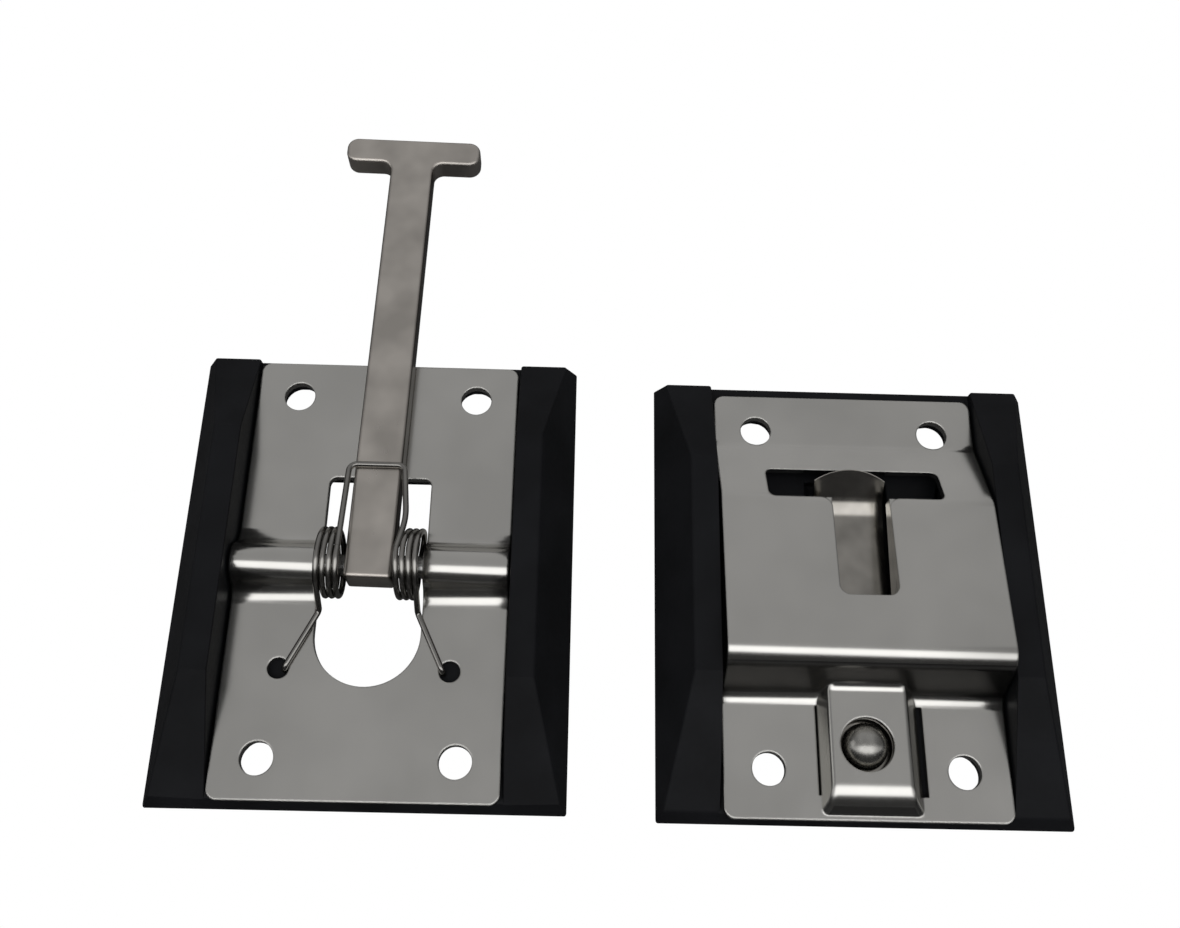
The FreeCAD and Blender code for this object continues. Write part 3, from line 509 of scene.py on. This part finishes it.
class HOLDER_OT_slot_lip(bpy.types.Operator):
    """Turned-down edge of the narrow slot, carried on below the CAD plate"""

    bl_idname = "holder.slot_lip"
    bl_label = "Slot Lip"

    FACING = 0.9

    def execute(self, context):
        s = context.scene.holder_lip
        wall = s.thickness
        low = Vector((-s.left - wall, -s.near - wall, s.bottom))
        high = Vector((s.right + wall, s.far, s.top))
        middle = (low + high) / 2 + Vector(s.middle)
        deselect_all()
        bpy.ops.mesh.primitive_cube_add(size=1.0, location=middle * MM, scale=(high - low) * MM)
        lip = bpy.context.active_object
        lip.name = "slot_lip"
        bpy.ops.object.transform_apply(location=True, rotation=True, scale=True)
        bpy.ops.object.mode_set(mode="EDIT")
        pick(lip, "FACE", lambda face: abs(face.normal.z) > self.FACING
             or face.normal.y > self.FACING)
        bpy.ops.mesh.delete(type="FACE")
        near, far = (low.y + s.middle[1]) * MM, (high.y + s.middle[1]) * MM
        pick(lip, "EDGE", lambda edge: all(abs(v.co.y - near) < TINY for v in edge.verts)
             and abs(edge.verts[0].co.x - edge.verts[1].co.x) < TINY)
        bpy.ops.mesh.bevel(offset=(s.corner + wall) * MM, segments=LIP_SEGMENTS)
        for height, far_height in ((s.bottom, s.far_bottom), (s.top, s.far_top)):
            pick(lip, "VERT", lambda v: abs(v.co.y - far) < TINY
                 and abs(v.co.z - height * MM) < TINY)
            bpy.ops.transform.translate(value=(0.0, 0.0, (far_height - height) * MM))
        bpy.ops.object.mode_set(mode="OBJECT")
        solid = lip.modifiers.new("Wall", "SOLIDIFY")
        solid.thickness = wall * MM
        solid.offset = -1.0
        solid.use_even_offset = True
        bpy.ops.object.modifier_apply(modifier="Wall")
        bpy.ops.object.shade_smooth_by_angle(angle=SMOOTH_ANGLE)
        give(lip, "stainless")
        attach(lip, "base")
        return {"FINISHED"}


class HOLDER_OT_finishes(bpy.types.Operator):
    """Finishes, painted shade and soft edges on the CAD pieces"""

    bl_idname = "holder.finishes"
    bl_label = "Finishes"

    def execute(self, context):
        slots = {part["node"]: part["material_slot"] for part in frame["record"]["subparts"]}
        for name, width in EDGES.items():
            obj = frame["nodes"][name]
            give(obj, slots[name])
            if name in SECOND:
                second_finish(obj, *SECOND[name])
            if width:
                soften(obj, width)
        return {"FINISHED"}


# Stage

class HOLDER_OT_stage(bpy.types.Operator):
    """Floor, sky, soft lamp and camera"""

    bl_idname = "holder.stage"
    bl_label = "Stage"

    FLOOR_SIZE = 6.0
    FLOOR_DROP = 0.02
    FLOOR_ROUGHNESS = 0.9
    FLOOR_TONE = (0.8, 0.8, 0.8, 1.0)
    FLOOR_IN_METAL = (0.1, 0.1, 0.1, 1.0)
    WHITE = (1.0, 1.0, 1.0, 1.0)

    # Degrees from overhead towards the near side, and the sky's brightness there
    SKY = ((-90, 0.46), (-50, 0.42), (2, 0.4), (10, 1.8), (39, 1.8), (46, 0.1), (60, 0.04),
           (90, 0.04))
    SKY_BLUE = 1.01
    # The sky's strength at its middle and far out to the sides
    SIDES = {"From Min": 0.45, "From Max": 0.85, "To Min": 2.0, "To Max": 0.7}

    LAMP_PLACE = Vector((-0.8, 0.1, 0.3))
    LAMP_SIZE = 0.4
    SENSOR_WIDTH = 36.0
    CLIP_START = 0.005
    CLIP_END = 20.0

    def execute(self, context):
        self.floor()
        self.sky()
        self.lamp(context.scene.holder_stage)
        self.camera(context.scene.holder_stage)
        context.scene.view_settings.view_transform = "Standard"
        return {"FINISHED"}

    def floor(self):
        """A floor that the camera sees white and that metal mirrors in a dark grey."""
        deselect_all()
        bpy.ops.mesh.primitive_plane_add(size=self.FLOOR_SIZE,
                                         location=(0.0, 0.0, -self.FLOOR_DROP * MM))
        floor = bpy.context.active_object
        floor.name = "floor"
        material = bpy.data.materials.new("floor")
        material.use_nodes = True
        nodes, links = material.node_tree.nodes, material.node_tree.links
        surface = nodes["Principled BSDF"]
        surface.inputs["Roughness"].default_value = self.FLOOR_ROUGHNESS
        glow = nodes.new("ShaderNodeEmission")
        glow.inputs["Strength"].default_value = 1.0
        path = nodes.new("ShaderNodeLightPath")
        tone = nodes.new("ShaderNodeMix")
        tone.data_type = "RGBA"
        tone.inputs["A"].default_value = self.FLOOR_TONE
        tone.inputs["B"].default_value = self.FLOOR_IN_METAL
        mix = nodes.new("ShaderNodeMixShader")
        links.new(path.outputs["Is Glossy Ray"], tone.inputs["Factor"])
        links.new(tone.outputs["Result"], surface.inputs["Base Color"])
        links.new(path.outputs["Is Camera Ray"], mix.inputs[0])
        links.new(surface.outputs[0], mix.inputs[1])
        links.new(glow.outputs[0], mix.inputs[2])
        links.new(mix.outputs[0], nodes["Material Output"].inputs["Surface"])
        floor.data.materials.append(material)

    def sky(self):
        """A studio sky whose brightness depends on the angle from overhead to the near side."""
        world = bpy.data.worlds.new("Studio")
        bpy.context.scene.world = world
        world.use_nodes = True
        nodes, links = world.node_tree.nodes, world.node_tree.links
        nodes.clear()
        where = nodes.new("ShaderNodeTexCoord")
        split = nodes.new("ShaderNodeSeparateXYZ")
        toward = nodes.new("ShaderNodeMath")
        toward.operation = "MULTIPLY"
        toward.inputs[1].default_value = -1.0
        angle = nodes.new("ShaderNodeMath")
        angle.operation = "ARCTAN2"
        turn = nodes.new("ShaderNodeMapRange")
        turn.inputs["From Min"].default_value = -math.pi / 2
        turn.inputs["From Max"].default_value = math.pi / 2
        ramp = nodes.new("ShaderNodeValToRGB")
        links.new(where.outputs["Generated"], split.inputs[0])
        links.new(split.outputs["Y"], toward.inputs[0])
        links.new(toward.outputs[0], angle.inputs[0])
        links.new(split.outputs["Z"], angle.inputs[1])
        links.new(angle.outputs[0], turn.inputs["Value"])
        links.new(turn.outputs["Result"], ramp.inputs[0])
        marks = ramp.color_ramp.elements
        while len(marks) < len(self.SKY):
            marks.new(0.5)
        for mark, (degrees, level) in zip(marks, self.SKY):
            mark.position = (degrees + 90) / 180
            half = level / 2
            mark.color = (half, half, half * self.SKY_BLUE, 1.0)
        sky = nodes.new("ShaderNodeBackground")
        aside = nodes.new("ShaderNodeMath")
        aside.operation = "ABSOLUTE"
        dim = nodes.new("ShaderNodeMapRange")
        for label, value in self.SIDES.items():
            dim.inputs[label].default_value = value
        links.new(split.outputs["X"], aside.inputs[0])
        links.new(aside.outputs[0], dim.inputs["Value"])
        links.new(dim.outputs["Result"], sky.inputs["Strength"])
        white = nodes.new("ShaderNodeBackground")
        white.inputs["Color"].default_value = self.WHITE
        path = nodes.new("ShaderNodeLightPath")
        mix = nodes.new("ShaderNodeMixShader")
        out = nodes.new("ShaderNodeOutputWorld")
        links.new(ramp.outputs["Color"], sky.inputs["Color"])
        links.new(path.outputs["Is Camera Ray"], mix.inputs[0])
        links.new(sky.outputs[0], mix.inputs[1])
        links.new(white.outputs[0], mix.inputs[2])
        links.new(mix.outputs[0], out.inputs["Surface"])

    def lamp(self, s):
        """A weak round lamp on the left, turned towards the object."""
        deselect_all()
        bpy.ops.object.light_add(type="AREA", location=self.LAMP_PLACE)
        lamp = bpy.context.active_object
        lamp.name = "soft_lamp"
        lamp.data.shape = "DISK"
        lamp.data.size = self.LAMP_SIZE
        lamp.data.energy = s.lamp_power
        lamp.rotation_mode = "QUATERNION"
        lamp.rotation_quaternion = (-self.LAMP_PLACE).to_track_quat("-Z", "Y")

    def camera(self, s):
        """A camera at the eye that looks at the aim, turned about its view by the roll."""
        deselect_all()
        bpy.ops.object.camera_add()
        camera = bpy.context.active_object
        camera.name = "photo_camera"
        eye, aim = Vector(s.eye) * MM, Vector(s.aim) * MM
        back = (eye - aim).normalized()
        level = Vector((0.0, 0.0, 1.0)).cross(back).normalized()
        rise = back.cross(level)
        right = level * math.cos(s.roll) + rise * math.sin(s.roll)
        up = rise * math.cos(s.roll) - level * math.sin(s.roll)
        matrix = camera.matrix_world.copy()
        for column, axis in enumerate((right, up, back, eye)):
            for row in range(3):
                matrix[row][column] = axis[row]
        camera.matrix_world = matrix
        camera.data.lens = s.lens
        camera.data.sensor_width = self.SENSOR_WIDTH
        camera.data.clip_start = self.CLIP_START
        camera.data.clip_end = self.CLIP_END
        bpy.context.scene.camera = camera


class HOLDER_PT_panel(bpy.types.Panel):
    """Buttons for the pieces and the stage"""

    bl_label = "Door Holder"
    bl_idname = "HOLDER_PT_panel"
    bl_space_type = "VIEW_3D"
    bl_region_type = "UI"
    bl_category = "Door Holder"

    def draw(self, context):
        layout = self.layout
        scene = context.scene
        for settings in (scene.holder_finish, scene.holder_spring, scene.holder_lip,
                         scene.holder_stage):
            box = layout.box()
            for name in settings.bl_rna.properties.keys():
                if name not in ("rna_type", "name"):
                    box.prop(settings, name)
        for operator in OPERATORS:
            layout.operator(operator.bl_idname)


OPERATORS = (HOLDER_OT_finishes, HOLDER_OT_spring, HOLDER_OT_slot_lip, HOLDER_OT_stage)
CLASSES = (FinishSettings, SpringSettings, LipSettings, StageSettings, *OPERATORS,
           HOLDER_PT_panel)


def register():
    for cls in CLASSES:
        bpy.utils.register_class(cls)
    bpy.types.Scene.holder_finish = PointerProperty(type=FinishSettings)
    bpy.types.Scene.holder_spring = PointerProperty(type=SpringSettings)
    bpy.types.Scene.holder_lip = PointerProperty(type=LipSettings)
    bpy.types.Scene.holder_stage = PointerProperty(type=StageSettings)


def unregister():
    del bpy.types.Scene.holder_stage
    del bpy.types.Scene.holder_lip
    del bpy.types.Scene.holder_spring
    del bpy.types.Scene.holder_finish
    for cls in reversed(CLASSES):
        bpy.utils.unregister_class(cls)


def main():
    """Builds all pieces and the stage in order."""
    register()
    bpy.ops.holder.finishes()
    bpy.ops.holder.spring()
    bpy.ops.holder.slot_lip()
    bpy.ops.holder.stage()


if __name__ == "__main__":
    main()
